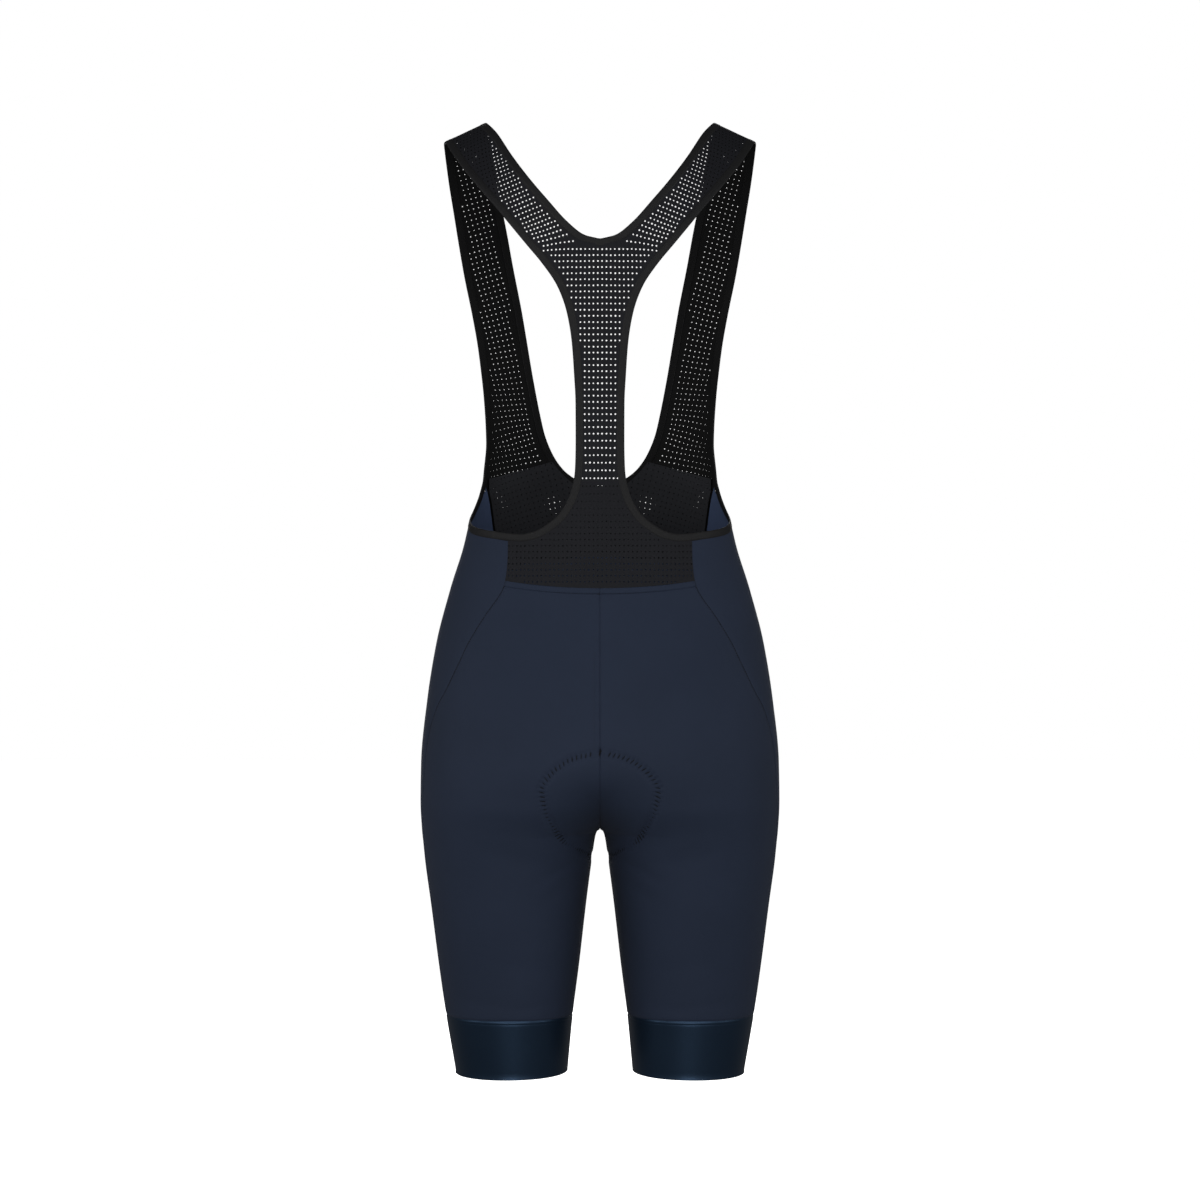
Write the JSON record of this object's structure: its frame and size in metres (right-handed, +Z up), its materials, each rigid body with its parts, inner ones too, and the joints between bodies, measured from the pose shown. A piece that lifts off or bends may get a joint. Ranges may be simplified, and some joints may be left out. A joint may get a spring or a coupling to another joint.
{
  "type": "cycling bib shorts",
  "caption": "Close-fitting cycling shorts with net shoulder straps, a Y-shaped net back, leg grippers and a seat pad, in their worn, hollow shape.",
  "frame": {"origin": "midway between the tops of the two shoulder straps, where the wearer's shoulders hold the garment", "axes": "+Z up, the wearer faces -Y, the wearer's left side is on +X"},
  "size_m": [0.343, 0.2334, 0.9113],
  "materials": {
    "navy_knit": "matte stretch knit with very fine ribs",
    "gripper_satin": "smooth satin elastic",
    "black_net": "matte perforated knit",
    "inner_net": "matte perforated knit",
    "edge_tape": "flat folded elastic",
    "seat_pad": "soft brushed knit over foam"
  },
  "bodies": {
    "root": {"back_left": "navy_knit", "back_right": "navy_knit", "side_left": "navy_knit", "side_right": "navy_knit", "front_left": "navy_knit", "front_right": "navy_knit", "cuff_left": "gripper_satin", "cuff_right": "gripper_satin", "back_bib": "black_net", "front_bib": "black_net", "front_lining": "inner_net", "neck_binding": "edge_tape", "armhole_binding_left": "edge_tape", "armhole_binding_right": "edge_tape", "seat_pad": "seat_pad"}
  },
  "joints": []
}
